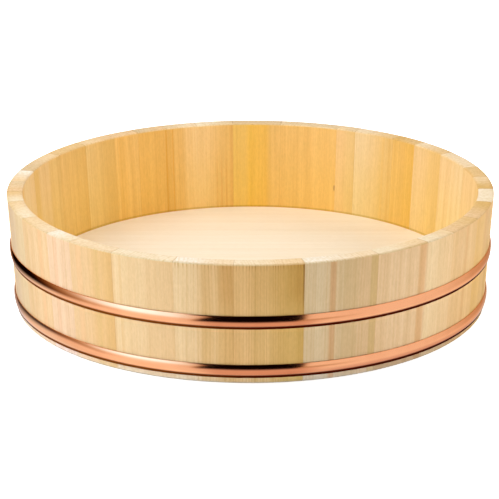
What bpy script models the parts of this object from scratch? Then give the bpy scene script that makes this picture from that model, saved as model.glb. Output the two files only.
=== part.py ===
"""Sushi rice tub: a low coopered tub of cypress staves with two copper hoops.

The staves stand in a ring, mitred edge to edge and kept in line by bamboo pins.
A floor of pinned planks sits in the groove cut round their inner faces.
The wall leans outwards, so the hoops go on from the narrow foot and are driven
up until they draw the ring tight.

The tub stands on z = 0 with its centre line on the Z axis, and its front is -Y.
Sizes are in metres and angles in degrees, unless a line says otherwise.
"""

import math

import bmesh
import bpy
from mathutils import Matrix

# The tub as a whole
RIM_RADIUS = 0.210
TUB_HEIGHT = 0.101
WALL_LEAN = 3.2

# The staves
WALL_THICKNESS = 0.014
RIM_ROUNDING = 0.0012
FOOT_CHAMFER = 0.0015
FIRST_JOINT = -16.77
WALL_FACET = 4.0
ROUNDING_STEPS = 2

# The width of each stave along the rim, in millimetres, and the tone of its wood.
# They run counter-clockwise seen from above, from the first joint left of the front.
STAVES = (
    (48.2, "honey"), (55.9, "tan"), (62.5, "grey"), (50.7, "pale"),
    (33.1, "pale"), (42.9, "honey"), (47.5, "pale"), (37.9, "honey"),
    (36.8, "pale"), (30.7, "honey"), (48.8, "pale"), (41.1, "honey"),
    (29.1, "tan"), (45.0, "pale"), (20.7, "pale"), (59.6, "honey"),
    (48.4, "tan"), (37.3, "honey"), (32.1, "honey"), (32.2, "tan"),
    (28.6, "honey"), (38.2, "honey"), (40.8, "honey"), (57.7, "tan"),
    (33.5, "pale"), (30.3, "honey"), (28.8, "pale"), (48.6, "pale"),
    (44.3, "honey"), (29.7, "pale"), (44.4, "pale"), (54.1, "honey"),
)

# The floor, its bevelled edge and the groove that holds it
FLOOR_UNDERSIDE = 0.0084
FLOOR_THICKNESS = 0.012
FLOOR_TONGUE = 0.0084
FLOOR_BEVEL = 0.0020
GROOVE_DEPTH = 0.003
FLOOR_FACETS = 96

# The width of each plank from front to back, in millimetres
PLANKS = (74, 75, 78, 81, 82)

# The bamboo pins
PIN_RADIUS = 0.0018
PIN_CHAMFER = 0.0005
PIN_SIDES = 8
FLOOR_PIN_LENGTH = 0.030
FLOOR_PIN_SPACING = 0.095
FLOOR_PINS_PER_SEAM = 3
STAVE_PIN_LENGTH = 0.016
STAVE_PIN_HEIGHT = 0.074

# The hoops: the height is that of the lower edge
HOOP_WIDTH = 0.0113
HOOP_EDGE = 0.0004
HOOP_CROWN = 0.0008
UPPER_HOOP_HEIGHT = 0.0467
LOWER_HOOP_HEIGHT = 0.0050
HOOP_FACETS = 96
CROWN_STEPS = 5

# The clearance between pieces that touch
FIT_GAP = 0.0003

# The distance within which the two ends of a full turn are joined
MERGE = 0.00001

# An edge that turns by more than this is crisp
CRISP_EDGE = 30
# Only a pin's end edges turn by more than this
PIN_END_EDGE = 60

# Colours are linear values
WOOD_TONES = {
    "pale": (0.88, 0.66, 0.38),
    "honey": (0.80, 0.55, 0.27),
    "tan": (0.68, 0.43, 0.19),
    "grey": (0.70, 0.52, 0.31),
}
FLOOR_COLOUR = (0.92, 0.74, 0.50)
BAMBOO_COLOUR = (0.72, 0.58, 0.30)
COPPER_COLOUR = (0.93, 0.50, 0.30)
WOOD_ROUGHNESS = 0.55
BAMBOO_ROUGHNESS = 0.45
COPPER_ROUGHNESS = 0.16


def wall_outer(height):
    """Radius of the wall's outer face at a height."""
    return RIM_RADIUS - (TUB_HEIGHT - height) * math.tan(math.radians(WALL_LEAN))


def wall_inner(height):
    """Radius of the wall's inner face at a height."""
    return wall_outer(height) - WALL_THICKNESS


def wall_centre(height):
    """Radius of the middle of the wall's thickness at a height."""
    return wall_outer(height) - WALL_THICKNESS / 2


# The floor's levels and the groove that follows them
floor_top = FLOOR_UNDERSIDE + FLOOR_THICKNESS
floor_middle = FLOOR_UNDERSIDE + FLOOR_THICKNESS / 2
tongue_top = floor_middle + FLOOR_TONGUE / 2
tongue_bottom = floor_middle - FLOOR_TONGUE / 2
groove_top = tongue_top + FIT_GAP
groove_bottom = tongue_bottom - FIT_GAP
groove_radius = wall_inner(floor_middle) + GROOVE_DEPTH
tongue_radius = groove_radius - FIT_GAP


def clear_scene():
    """Start from an empty scene."""
    for thing in list(bpy.data.objects):
        bpy.data.objects.remove(thing, do_unlink=True)


def new_collection(name):
    """A collection linked to the scene."""
    collection = bpy.data.collections.new(name)
    bpy.context.scene.collection.children.link(collection)
    return collection


def principled(name, colour, roughness, metallic=0.0):
    """A material with one Principled shader."""
    material = bpy.data.materials.new(name)
    material.use_nodes = True
    shader = material.node_tree.nodes["Principled BSDF"]
    shader.inputs["Base Color"].default_value = (*colour, 1.0)
    shader.inputs["Roughness"].default_value = roughness
    shader.inputs["Metallic"].default_value = metallic
    return material


def finish_mesh(bm, name):
    """Turn a bmesh into a smooth-shaded mesh that keeps its arrises crisp."""
    bmesh.ops.recalc_face_normals(bm, faces=bm.faces)
    mesh = bpy.data.meshes.new(name)
    bm.to_mesh(mesh)
    bm.free()
    mesh.shade_smooth()
    mesh.set_sharp_from_angle(angle=math.radians(CRISP_EDGE))
    return mesh


def add_piece(name, mesh, material, turn=0.0, location=(0.0, 0.0, 0.0)):
    """Put one piece of the tub in place, turned about the centre line."""
    mesh.materials.append(material)
    piece = bpy.data.objects.new(name, mesh)
    piece.location = location
    piece.rotation_euler.z = turn
    piece.parent = centre
    tub.objects.link(piece)
    return piece


def add_cutter(name, mesh, parent=None, turn=0.0):
    """Put a hidden tool shape in place, in its parent's frame if it has one."""
    cutter = bpy.data.objects.new(name, mesh)
    cutter.parent = parent
    cutter.rotation_euler.z = turn
    cutter.hide_render = True
    cutter.display_type = "WIRE"
    cutters.objects.link(cutter)
    return cutter


def combine(piece, cutter, operation):
    """Join a tool shape to a piece, or cut it away."""
    boolean = piece.modifiers.new(f"{operation.lower()} {cutter.name}", "BOOLEAN")
    boolean.operation = operation
    boolean.solver = "EXACT"
    boolean.object = cutter


def add_outline(bm, points, closed):
    """Draw (radius, height) points on the XZ plane as a run of edges."""
    corners = [bm.verts.new((across, 0.0, up)) for across, up in points]
    for start, end in zip(corners[:-1], corners[1:]):
        bm.edges.new((start, end))
    if closed:
        bm.edges.new((corners[-1], corners[0]))


def pin_mesh(name, radius, length, places=((0.0, 0.0, 0.0),)):
    """Round pins lying along Y, one at each place."""
    bm = bmesh.new()
    lie_down = Matrix.Rotation(math.pi / 2, 4, "X")
    for place in places:
        bmesh.ops.create_cone(
            bm,
            cap_ends=True,
            segments=PIN_SIDES,
            radius1=radius,
            radius2=radius,
            depth=length,
            matrix=Matrix.Translation(place) @ lie_down,
        )
    return finish_mesh(bm, name)


# The staves


def rim_corner(centre_radius, centre_height, start, end):
    """Points along a rounded edge of the rim, between two angles of its circle."""
    points = []
    for step in range(ROUNDING_STEPS + 1):
        angle = math.radians(start + (end - start) * step / ROUNDING_STEPS)
        across = centre_radius + RIM_ROUNDING * math.cos(angle)
        up = centre_height + RIM_ROUNDING * math.sin(angle)
        points.append((across, up))
    return points


def stave_section():
    """Closed outline of a stave as (radius, height) points, from its foot up the outside."""
    shoulder = TUB_HEIGHT - RIM_ROUNDING
    foot_outer = wall_outer(FOOT_CHAMFER)
    foot_inner = wall_inner(FOOT_CHAMFER)
    section = [
        (foot_inner + FOOT_CHAMFER, 0.0),
        (foot_outer - FOOT_CHAMFER, 0.0),
        (foot_outer, FOOT_CHAMFER),
    ]
    section += rim_corner(wall_outer(shoulder) - RIM_ROUNDING, shoulder, 0, 90)
    section += rim_corner(wall_inner(shoulder) + RIM_ROUNDING, shoulder, 90, 180)
    section += [
        (wall_inner(groove_top), groove_top),
        (groove_radius, groove_top),
        (groove_radius, groove_bottom),
        (wall_inner(groove_bottom), groove_bottom),
        (foot_inner, FOOT_CHAMFER),
    ]
    return section


def stave_mesh(name, sweep):
    """Solid swept by the stave's section through its own angle, centred on +X."""
    bm = bmesh.new()
    corners = [bm.verts.new((across, 0.0, up)) for across, up in stave_section()]
    bm.faces.new(corners)
    first_edge = Matrix.Rotation(-sweep / 2, 3, "Z")
    bmesh.ops.rotate(bm, verts=bm.verts, cent=(0, 0, 0), matrix=first_edge)
    bmesh.ops.spin(
        bm,
        geom=bm.verts[:] + bm.edges[:] + bm.faces[:],
        cent=(0, 0, 0),
        axis=(0, 0, 1),
        angle=sweep,
        steps=math.ceil(math.degrees(sweep) / WALL_FACET),
        use_duplicate=False,
    )
    return finish_mesh(bm, name)


def build_staves():
    """The ring of staves, each with a pin on one edge and a socket in the other."""
    rim_length = sum(width for width, tone in STAVES)
    joint_gap = FIT_GAP / wall_centre(TUB_HEIGHT / 2)
    pin_place = [(wall_centre(STAVE_PIN_HEIGHT), 0.0, STAVE_PIN_HEIGHT)]
    socket_length = STAVE_PIN_LENGTH + 2 * FIT_GAP
    pin = pin_mesh("stave_pin", PIN_RADIUS, STAVE_PIN_LENGTH, pin_place)
    socket = pin_mesh("stave_socket", PIN_RADIUS + FIT_GAP, socket_length, pin_place)
    joint = math.radians(FIRST_JOINT - 90)
    for number, (width, tone) in enumerate(STAVES, start=1):
        name = f"stave_{number:02d}"
        share = 2 * math.pi * width / rim_length
        mesh = stave_mesh(name, share - joint_gap)
        material = principled(f"{name}_wood", WOOD_TONES[tone], WOOD_ROUGHNESS)
        stave = add_piece(name, mesh, material, turn=joint + share / 2)
        combine(stave, add_cutter(f"{name}_socket", socket, stave, turn=-share / 2), "DIFFERENCE")
        combine(stave, add_cutter(f"{name}_pin", pin, stave, turn=share / 2), "UNION")
        joint += share


# The floor


def floor_edge():
    """The floor's edge as (radius, height) points, from its top face to its underside."""
    upper_lip = wall_inner(groove_top) - FIT_GAP
    lower_lip = wall_inner(groove_bottom) - FIT_GAP
    return [
        (upper_lip - FLOOR_BEVEL, floor_top),
        (upper_lip, tongue_top),
        (tongue_radius, tongue_top),
        (tongue_radius, tongue_bottom),
        (lower_lip, tongue_bottom),
        (lower_lip - FLOOR_BEVEL, FLOOR_UNDERSIDE),
    ]


def plank_seams():
    """Where the seams between planks lie along Y, from front to back."""
    seams = []
    laid = 0
    for width in PLANKS[:-1]:
        laid += width
        seams.append(tongue_radius * (2 * laid / sum(PLANKS) - 1))
    return seams


def close_openings(bm):
    """Fill every hole in the mesh with one flat face."""
    rims = [edge for edge in bm.edges if edge.is_boundary]
    bmesh.ops.holes_fill(bm, edges=rims, sides=0)


def plank_mesh(name, front, back):
    """The stretch of the round floor between two seams; None stands for the floor's own edge."""
    bm = bmesh.new()
    add_outline(bm, floor_edge(), closed=False)
    bmesh.ops.spin(
        bm,
        geom=bm.verts[:] + bm.edges[:],
        cent=(0, 0, 0),
        axis=(0, 0, 1),
        angle=2 * math.pi,
        steps=FLOOR_FACETS,
        use_merge=True,
        use_duplicate=False,
    )
    close_openings(bm)
    for seam, outwards in ((front, -1), (back, 1)):
        if seam is not None:
            bmesh.ops.bisect_plane(
                bm,
                geom=bm.verts[:] + bm.edges[:] + bm.faces[:],
                plane_co=(0.0, seam - outwards * FIT_GAP / 2, 0.0),
                plane_no=(0.0, outwards, 0.0),
                clear_outer=True,
            )
            close_openings(bm)
    return finish_mesh(bm, name)


def seam_pin_places(seam):
    """Centres of the pins along one seam."""
    places = []
    for count in range(FLOOR_PINS_PER_SEAM):
        across = FLOOR_PIN_SPACING * (count - (FLOOR_PINS_PER_SEAM - 1) / 2)
        places.append((across, seam, floor_middle))
    return places


def add_floor_pin(number, place):
    """One bamboo pin with its ends eased."""
    name = f"floor_pin_{number:02d}"
    mesh = pin_mesh(name, PIN_RADIUS, FLOOR_PIN_LENGTH)
    material = principled(f"{name}_bamboo", BAMBOO_COLOUR, BAMBOO_ROUGHNESS)
    pin = add_piece(name, mesh, material, location=place)
    bevel = pin.modifiers.new("eased ends", "BEVEL")
    bevel.width = PIN_CHAMFER
    bevel.segments = 1
    bevel.limit_method = "ANGLE"
    bevel.angle_limit = math.radians(PIN_END_EDGE)


def build_floor():
    """The planks, the bamboo pins across their seams, and the sockets for them."""
    seams = plank_seams()
    bounds = [None] + seams + [None]
    planks = []
    for number, (front, back) in enumerate(zip(bounds[:-1], bounds[1:]), start=1):
        name = f"floor_plank_{number}"
        material = principled(f"{name}_wood", FLOOR_COLOUR, WOOD_ROUGHNESS)
        planks.append(add_piece(name, plank_mesh(name, front, back), material))
    socket_length = FLOOR_PIN_LENGTH + 2 * FIT_GAP
    pin_number = 1
    for number, seam in enumerate(seams):
        places = seam_pin_places(seam)
        name = f"seam_{number + 1}_sockets"
        sockets = add_cutter(name, pin_mesh(name, PIN_RADIUS + FIT_GAP, socket_length, places))
        combine(planks[number], sockets, "DIFFERENCE")
        combine(planks[number + 1], sockets, "DIFFERENCE")
        for place in places:
            add_floor_pin(pin_number, place)
            pin_number += 1


# The hoops


def hoop_section(low):
    """Closed outline of a hoop as (radius, height) points, down its crowned outer face."""
    lean = math.radians(WALL_LEAN)
    outline = []
    for step in range(CROWN_STEPS + 1):
        along = 1 - step / CROWN_STEPS
        proud = HOOP_EDGE + HOOP_CROWN * (1 - (2 * along - 1) ** 2)
        outline.append((along * HOOP_WIDTH, proud))
    outline += [(0.0, 0.0), (HOOP_WIDTH, 0.0)]
    seat = wall_outer(low) + FIT_GAP / math.cos(lean)
    section = []
    for along, proud in outline:
        across = seat + along * math.sin(lean) + proud * math.cos(lean)
        up = low + along * math.cos(lean) - proud * math.sin(lean)
        section.append((across, up))
    return section


def build_hoop(name, low):
    """A crowned copper band on the leaning wall, with its lower edge at a height."""
    bm = bmesh.new()
    add_outline(bm, hoop_section(low), closed=True)
    mesh = bpy.data.meshes.new(name)
    bm.to_mesh(mesh)
    bm.free()
    copper = principled(f"{name}_copper", COPPER_COLOUR, COPPER_ROUGHNESS, metallic=1.0)
    hoop = add_piece(name, mesh, copper)
    turn = hoop.modifiers.new("turn", "SCREW")
    turn.axis = "Z"
    turn.angle = 2 * math.pi
    turn.steps = HOOP_FACETS
    turn.render_steps = HOOP_FACETS
    turn.use_merge_vertices = True
    turn.merge_threshold = MERGE
    turn.use_smooth_shade = True


clear_scene()
tub = new_collection("sushi_rice_tub")
cutters = new_collection("cutters")
centre = bpy.data.objects.new("tub_centre", None)
tub.objects.link(centre)

build_staves()
build_floor()
build_hoop("upper_hoop", UPPER_HOOP_HEIGHT)
build_hoop("lower_hoop", LOWER_HOOP_HEIGHT)
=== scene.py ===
"""Sushi rice tub: the finish of every surface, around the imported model.

The wood is a solid texture in each piece's own coordinates, so that growth rings
run from a stave's face over the rim as end grain.
Sizes are in metres unless a line says otherwise, and colours are linear values.
"""

import math

import bmesh
import bpy
from mathutils import Matrix, Quaternion, Vector


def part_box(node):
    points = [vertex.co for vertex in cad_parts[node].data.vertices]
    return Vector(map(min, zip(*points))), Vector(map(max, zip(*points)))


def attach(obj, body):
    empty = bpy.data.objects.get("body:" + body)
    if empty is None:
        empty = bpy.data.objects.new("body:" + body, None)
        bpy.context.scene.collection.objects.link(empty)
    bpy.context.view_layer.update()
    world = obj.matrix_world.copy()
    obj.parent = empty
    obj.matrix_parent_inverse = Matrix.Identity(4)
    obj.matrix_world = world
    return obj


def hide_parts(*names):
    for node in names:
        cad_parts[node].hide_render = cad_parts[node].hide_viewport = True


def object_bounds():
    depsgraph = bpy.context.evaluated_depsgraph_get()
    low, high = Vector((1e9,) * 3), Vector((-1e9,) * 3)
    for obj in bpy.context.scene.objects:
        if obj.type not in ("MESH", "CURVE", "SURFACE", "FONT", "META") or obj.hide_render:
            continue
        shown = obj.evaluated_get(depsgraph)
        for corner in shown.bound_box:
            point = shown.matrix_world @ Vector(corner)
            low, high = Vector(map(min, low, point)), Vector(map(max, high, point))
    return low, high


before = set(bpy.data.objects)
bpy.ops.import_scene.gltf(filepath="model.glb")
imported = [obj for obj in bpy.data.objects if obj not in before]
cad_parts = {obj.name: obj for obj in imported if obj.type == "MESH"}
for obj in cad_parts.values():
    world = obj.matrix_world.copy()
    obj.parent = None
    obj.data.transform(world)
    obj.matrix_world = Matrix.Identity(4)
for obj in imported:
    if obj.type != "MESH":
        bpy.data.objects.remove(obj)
cad_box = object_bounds()

# The wall and the floor's edge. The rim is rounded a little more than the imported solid's,
# and the groove holds the floor's tongue more closely.
WALL_LEAN = math.radians(3.2)
WALL_THICKNESS = 0.014
FOOT_CHAMFER = 0.0015
RIM_ROUNDING = 0.0014
GROOVE_PLAY = 0.0001
FLOOR_TONGUE = 0.0084
FLOOR_BEVEL = 0.0020

# What planing leaves: the wood lost, the step from stave to stave, the eased joint edges
PLANED = 0.00012
STAVE_STEP = 0.00012
JOINT_GAP = 0.00003
JOINT_EASE = 0.00016
SEAM_EASE = 0.00012

# The hoops' section
HOOP_EDGE = 0.0007
HOOP_CROWN = 0.0008
HOOP_LIP = 0.0003
HOOP_SEAT = 0.00004

# How finely round shapes are cut
TURN_STEP = math.radians(1.0)
HOOP_STEPS = 480
FLOOR_STEPS = 360
CORNER_STEPS = 5
CROWN_STEPS = 24
CRISP_EDGE = math.radians(28)

STAVE_COUNT = 32
PLANK_COUNT = 5

# Tones of sawara cypress
TONES = {
    "ivory": (1.014, 0.72, 0.44),
    "blush": (0.86, 0.66, 0.48),
    "cream": (0.88, 0.65, 0.36),
    "pale": (0.84, 0.60, 0.39),
    "peach": (0.895, 0.614, 0.377),
    "saffron": (0.97, 0.66, 0.24),
    "wheat": (0.83, 0.58, 0.32),
    "flax": (0.85, 0.59, 0.30),
    "gold": (0.915, 0.585, 0.25),
    "stone": (0.745, 0.573, 0.335),
    "honey": (0.80, 0.54, 0.26),
    "straw": (0.81, 0.53, 0.24),
    "amber": (0.89, 0.54, 0.19),
    "oat": (0.76, 0.53, 0.28),
    "biscuit": (0.80, 0.51, 0.20),
    "ash": (0.65, 0.47, 0.295),
    "tan": (0.74, 0.46, 0.17),
    "ochre": (0.80, 0.49, 0.15),
    "umber": (0.67, 0.41, 0.10),
}
RIM_TONES = {
    "chalk": (0.86, 0.78, 0.66),
    "white": (0.83, 0.70, 0.51),
    "cream": (0.81, 0.64, 0.43),
    "buff": (0.79, 0.59, 0.35),
    "sand": (0.72, 0.55, 0.34),
    "clay": (0.75, 0.52, 0.29),
    "tan": (0.73, 0.50, 0.24),
    "grey": (0.66, 0.49, 0.29),
    "brown": (0.71, 0.48, 0.22),
    "umber": (0.66, 0.42, 0.15),
}

# Each stave from the first joint left of the front, counter-clockwise seen from above:
# the tone at its first and last edge, the rim's tone at both edges, the growth rings'
# spacing in millimetres and strength, and the turn of the pith from the wall's line in degrees
STAVES = (
    ("cream", "tan", "chalk", "cream", 3.0, 1.15, 8),
    ("biscuit", "umber", "white", "buff", 2.4, 1.1, -4),
    ("stone", "oat", "chalk", "cream", 2.4, 0.55, 6),
    ("wheat", "wheat", "white", "buff", 3.2, 0.4, -10),
    ("cream", "flax", "white", "buff", 3.0, 0.3, 12),
    ("straw", "biscuit", "clay", "brown", 2.5, 0.4, 5),
    ("ochre", "tan", "clay", "umber", 2.8, 0.4, -14),
    ("biscuit", "tan", "white", "white", 2.7, 0.4, 9),
    ("wheat", "pale", "umber", "buff", 3.0, 0.3, 4),
    ("pale", "pale", "tan", "brown", 2.6, 0.3, -8),
    ("blush", "pale", "cream", "cream", 2.9, 0.3, 14),
    ("honey", "pale", "tan", "cream", 2.7, 0.3, -6),
    ("ochre", "biscuit", "brown", "umber", 2.5, 0.4, 3),
    ("honey", "blush", "tan", "cream", 3.1, 0.3, 16),
    ("wheat", "peach", "sand", "buff", 2.8, 0.2, -9),
    ("gold", "gold", "sand", "sand", 2.9, 0.3, 7),
    ("gold", "saffron", "grey", "grey", 3.3, 0.3, 60),
    ("gold", "ivory", "sand", "white", 2.4, 0.4, -12),
    ("ivory", "amber", "cream", "sand", 2.6, 0.4, 5),
    ("amber", "amber", "clay", "grey", 2.8, 0.4, 18),
    ("gold", "amber", "clay", "clay", 2.5, 0.4, -5),
    ("biscuit", "flax", "clay", "buff", 2.9, 0.4, 10),
    ("biscuit", "straw", "tan", "tan", 2.6, 0.4, -7),
    ("honey", "honey", "buff", "grey", 3.0, 0.3, 13),
    ("pale", "blush", "chalk", "buff", 2.7, 0.3, -4),
    ("blush", "biscuit", "sand", "clay", 2.5, 0.4, 6),
    ("wheat", "wheat", "tan", "white", 2.9, 0.3, 11),
    ("ash", "stone", "buff", "white", 3.0, 0.4, -15),
    ("oat", "wheat", "buff", "cream", 2.6, 0.4, 8),
    ("pale", "pale", "chalk", "white", 2.8, 0.4, 3),
    ("wheat", "biscuit", "cream", "cream", 3.1, 0.25, -11),
    ("cream", "flax", "white", "white", 2.7, 0.3, 9),
)

# Streaks along some staves, and on staves 1 and 2 painted light and a painted shadow line: the
# place across from -1 to 1, the half width, the tint and where it shows: 0 all the way up, 1 only
# high up, -1 only low down
STREAKS_AND_PAINTED_LIGHT = {
    # Stave 1's tint low down is painted light, which lightens its lower band
    1: ((0.75, 0.30, (0.95, 0.90, 0.80), 1), (0.60, 0.90, (1.03, 1.05, 1.05), -1)),
    2: (
        (0.75, 0.32, (0.90, 0.84, 0.66), 1),
        # Painted shadow: a thin dark line high on stave 2's last edge, where its step shades the
        # joint
        (0.985, 0.045, (0.66, 0.58, 0.44), 1),
        # Painted light: this tint lightens stave 2 low down
        (0.50, 1.40, (1.03, 1.07, 1.13), -1),
    ),
    3: (
        (-0.25, 0.10, (0.93, 0.76, 0.64), 0),
        (0.17, 0.36, (0.93, 0.92, 0.85), 0),
        (0.90, 0.14, (0.90, 0.87, 0.68), 0),
    ),
    4: ((0.80, 0.19, (0.93, 0.80, 0.66), 0),),
    6: ((0.10, 0.12, (0.97, 0.90, 0.84), 0), (0.50, 1.40, (1.0, 1.02, 1.12), 1)),
    7: (
        (0.75, 0.35, (0.90, 0.84, 0.60), -1),
        (0.10, 0.14, (0.96, 0.90, 0.90), 1),
        (0.00, 2.40, (1.0, 1.035, 1.22), 1),
        (0.00, 2.40, (0.96, 0.96, 0.93), -1),
    ),
    13: ((0.72, 0.13, (0.95, 0.92, 0.84), 0),),
    14: ((-0.85, 0.10, (0.98, 0.94, 0.84), 0), (-0.50, 0.09, (1.0, 0.97, 0.88), 0)),
    17: ((-0.05, 0.60, (1.02, 0.97, 0.62), 0),),
    18: (
        (-0.90, 0.12, (0.98, 0.92, 0.82), 0),
        (-0.62, 0.07, (0.96, 0.89, 0.78), -1),
        (-0.34, 0.06, (0.96, 0.88, 0.76), -1),
        (-0.10, 0.06, (0.97, 0.91, 0.82), -1),
    ),
    19: ((0.62, 0.05, (0.97, 0.86, 0.66), 0),),
    20: ((-0.93, 0.06, (0.95, 0.84, 0.62), 0),),
    21: ((0.85, 0.22, (1.02, 1.08, 1.27), 0),),
    24: ((0.15, 0.55, (1.02, 1.06, 1.34), 0),),
    29: ((0.45, 0.14, (1.03, 0.97, 0.94), 0), (-0.60, 0.16, (0.98, 0.97, 0.92), 0)),
    30: ((-0.30, 0.20, (1.01, 0.96, 0.93), 0), (0.62, 0.10, (1.02, 1.03, 1.04), 0)),
    31: ((-0.55, 0.18, (1.02, 0.97, 0.93), 0), (0.30, 0.14, (0.97, 0.98, 0.93), 0)),
    32: ((-0.96, 0.06, (0.965, 0.92, 0.84), 0), (-0.72, 0.07, (0.97, 0.93, 0.85), 0)),
}
STREAK_FADE = (0.050, 0.080)

# Staves whose rings fade across: from one place to another, with the shares of the strength
RING_FADE = {1: (-0.9, -0.2, 0.25, 1.0), 2: (0.2, 0.6, 1.0, 0.45)}

# How strongly bands and streaks show, on most pieces and on some staves
FIGURE = 0.62
STRONG_FIGURE = {15: 0.3, 19: 0.4, 28: 0.8, 29: 0.8, 30: 0.75, 31: 0.5, 32: 0.4, 3: 0.45}

FLOOR_TONES = (
    (0.88, 0.79, 0.64),
    (0.88, 0.79, 0.64),
    (0.88, 0.79, 0.64),
    (0.88, 0.79, 0.64),
    (0.87, 0.77, 0.61),
)

# A pin's brown end that shows inside: the stave, the place across, the height and the size
PIN_MARK = (16, -0.975, 0.0432, 0.0023)

# Copper: its colours, the painted shade along its lower edge, the lower hoop's painted reflection
# of shade at the right and the brazed seam
COPPER = (0.94, 0.435, 0.222)
DULL_COPPER = (0.90, 0.40, 0.20)
LOWER_EDGE_SHADE = (0.06, 0.004, 0.0)
LOWER_EDGE_SHADE_LEFT = (0.18, 0.048, 0.005)
COPPER_SIDE = (1.0, 0.76, 0.60)
BRAZE = (0.86, 0.55, 0.28)
LOW_REFLECTED_SHADE = (0.74, 0.64, 0.66)
WHITE = (1.0, 1.0, 1.0)

# Tints of the staves' wood, by which its tone is multiplied
LATEWOOD = (0.905, 0.84, 0.71)
# Painted bounce light: the inside's warmer tint high up, and low down near the floor
INSIDE_BOUNCE_HIGH = (1.0, 0.99, 0.75)
INSIDE_BOUNCE_LOW = (1.0, 1.0, 0.60)
JOINT_SHADE = (0.74, 0.63, 0.48)
MARK_BROWN = (0.56, 0.29, 0.085)
JOINT_SHADE_REACH = 0.0022

# The dark line where the inner wall meets the floor: its reach up and down, and its tint
FLOOR_LINE = (0.0004, 0.0014)
FLOOR_LINE_TINT = (0.80, 0.77, 0.55)

# The rim's end grain
RIM_RINGS = (0.92, 0.85, 0.73)
RIM_FLECK_LIGHT = (1.04, 1.05, 1.08)
RIM_FLECK_DARK = (0.95, 0.91, 0.82)
RIM_EDGE = 0.0042

# Painted light and shade along the rim's outer and its inner edge, up to an azimuth in degrees
RIM_EDGE_LIGHT_AND_SHADE = (
    (36, (0.82, 0.73, 0.57), (1.0, 1.0, 1.0)),
    (85, (0.92, 0.89, 0.84), (1.04, 1.05, 1.12)),
    (100, (0.81, 0.72, 0.60), (1.07, 1.04, 1.0)),
    (140, (0.81, 0.80, 0.76), (1.05, 1.0, 0.88)),
    (238, (0.91, 0.96, 1.08), (1.01, 0.97, 0.89)),
    (262, (0.86, 0.86, 0.86), (0.99, 0.92, 0.80)),
    (348, (0.90, 0.86, 0.76), (0.98, 0.96, 0.95)),
    (360, (0.82, 0.73, 0.57), (1.0, 1.0, 1.0)),
)

# Staves whose growth rings are darker just below the rim
DASHED = (1, 2)
DASH_TINT = (0.74, 0.60, 0.42)
DASH_REACH = 0.007

# Painted light on the wood just under a hoop: its tint, and how far below the hoop it starts and is
# full
HOOP_BOUNCE_LIGHT = (1.08, 1.06, 1.05)
HOOP_BOUNCE_LIGHT_REACH = (0.0034, 0.0018)

# The foot below the lower hoop: how high it reaches, and its tint where it is lit or in shade
FOOT_BAND = 0.0048
FOOT_TINT = ((1.02, 1.17, 1.60), (0.73, 0.74, 0.79))
FOOT_SHADE = (30, 100)
# Painted shade on the foot's outer chamfer, which faces down
FOOT_CHAMFER_SHADE = (0.40, 0.36, 0.29)

# The planks: how even they are, their rings, and the seams that show underneath
FLOOR_EVEN = 0.55
PLANK_PITH = (-0.06, 0.4)
PLANK_RING_PITCH = 0.0034
PLANK_RING_STRENGTH = 0.35
PLANK_SEAM = 0.0007
PLANK_SEAM_TINT = (0.55, 0.45, 0.32)

# The wood's patterns: noise scales per metre, x and y across the grain and z along it,
# and the tints of their light and dark parts
WANDER_SCALE = (30.0, 30.0, 7.0)
WANDER = 0.006
UNEVEN_SCALE = 90.0
UNEVEN = 1.6
YEAR_SCALE = 7.31
BAND_SCALE = 110.0
STREAK_SCALE = (420.0, 420.0, 9.0)
FIBRE_SCALE = (2300.0, 2300.0, 70.0)
SPECK_SCALE = (900.0, 900.0, 280.0)
CLOUD_SCALE = (170.0, 170.0, 75.0)
BAND_TINTS = ((1.035, 1.05, 1.085), (0.955, 0.915, 0.84))
STREAK_TINTS = ((1.03, 1.035, 1.065), (0.96, 0.93, 0.87))
SPECK_TINTS = ((1.03, 1.033, 1.047), (0.970, 0.965, 0.948))
CLOUD_TINTS = ((1.014, 1.014, 1.022), (0.986, 0.984, 0.974))
FIBRE_TINTS = ((1.01, 1.01, 1.02), (0.985, 0.98, 0.97))
WOOD_ROUGHNESS = (0.46, 0.60)
LATEWOOD_SMOOTHER = 0.06
WOOD_RELIEF = 0.00003
PITH_DISTANCE = 0.16

# Bamboo
BAMBOO = (0.72, 0.58, 0.30)
BAMBOO_TINTS = ((1.1, 1.1, 1.1), (0.8, 0.75, 0.6))
BAMBOO_SCALE = (2600.0, 60.0, 2600.0)
BAMBOO_ROUGHNESS = (0.38, 0.52)

# The copper's brushing per turn in radians and per metre of height, its painted shade along the
# lower edge, along the top edge at the front and low on the lower hoop's right, and the lower
# hoop's tip, which is fitted to the photograph
BRUSH_TURN = 5.0
BRUSH_HEIGHT = 2600.0
COPPER_CLOUD_SCALE = 38.0
COPPER_ROUGHNESS = 0.10
COPPER_RELIEF = 0.00005
LOW_SHADE = (0.3, 0.6)
LOW_SHADE_TURN = (0.0, 0.4)
LOWER_EDGE_SHADE_TURN = (-0.5, 0.1)
TOP_EDGE_SHADE_TINT = (0.15, 0.12, 0.10)
LOWER_HOOP_TIP = (-0.155, -0.055)
LOWER_HOOP_TIP_TURN = (-0.82, -0.60)
TOP_EDGE_SHADE = (0.90, 0.97)
TOP_EDGE_SHADE_TURN = (-0.22, 0.20)
LOWER_EDGE_SHADE_SPAN = (0.20, 0.31)
SEAM_SLANT = 0.016
SEAM_HALF = 0.0007

# The studio: name, azimuth and elevation in degrees, distance, size, level
SOFTBOXES = (
    ("top_softbox", 0, 88, 1.0, 0.5, 0.43),
    ("upper_left_softbox", -80, 52, 1.7, 1.0, 0.45),
    ("left_softbox", -91, 26, 1.7, 1.1, 0.38),
    ("right_softbox", 98, 28, 1.7, 1.1, 0.55),
    ("front_softbox", 1, 20, 2.4, 1.9, 0.227),
)
EVEN_LIGHT = 0.02
FLOOR_BOUNCE = 0.29
FLOOR_WHITE = 0.92
FLOOR_REACH = 12.0
FLOOR_DROP = 0.0002
FLOOR_LIFT = (0.72, 1.0)
FLOOR_LIFT_REACH = (0.20, 0.27)

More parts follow.
